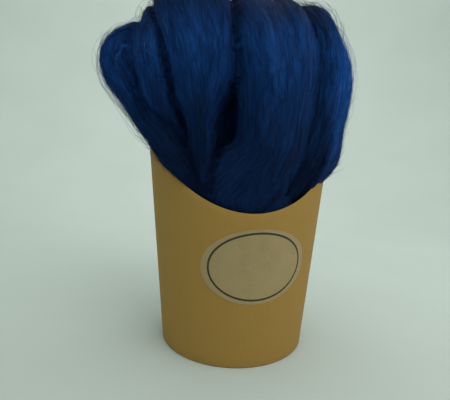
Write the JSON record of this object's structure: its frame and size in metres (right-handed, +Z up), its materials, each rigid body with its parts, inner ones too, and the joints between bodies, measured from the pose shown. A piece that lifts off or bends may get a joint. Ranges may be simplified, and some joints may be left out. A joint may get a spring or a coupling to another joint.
{
  "type": "wool roving in a scoop cup",
  "caption": "Folded hank of carded wool roving standing in a round, tapered kraft card cup with a scooped rim and a bare oval sticker.",
  "frame": {"origin": "on the surface the cup stands on, in the middle of the object's footprint as seen from above; the cup's axis is at x 8.9 mm, y -2.1 mm", "axes": "+Z up along the cup's axis, -Y towards the low front of the scooped rim, +X to the right of someone who faces the sticker"},
  "size_m": [0.1589, 0.117, 0.2356],
  "materials": {
    "wool": "carded wool fibre, matt with a soft sheen along the fibres",
    "card": "uncoated kraft card, matt, with fine flecks",
    "label": "thin cream sticker paper, satin"
  },
  "bodies": {
    "root": {"wool_roving": "wool", "cup_wall": "card", "cup_base": "card", "label": "label"}
  },
  "joints": []
}
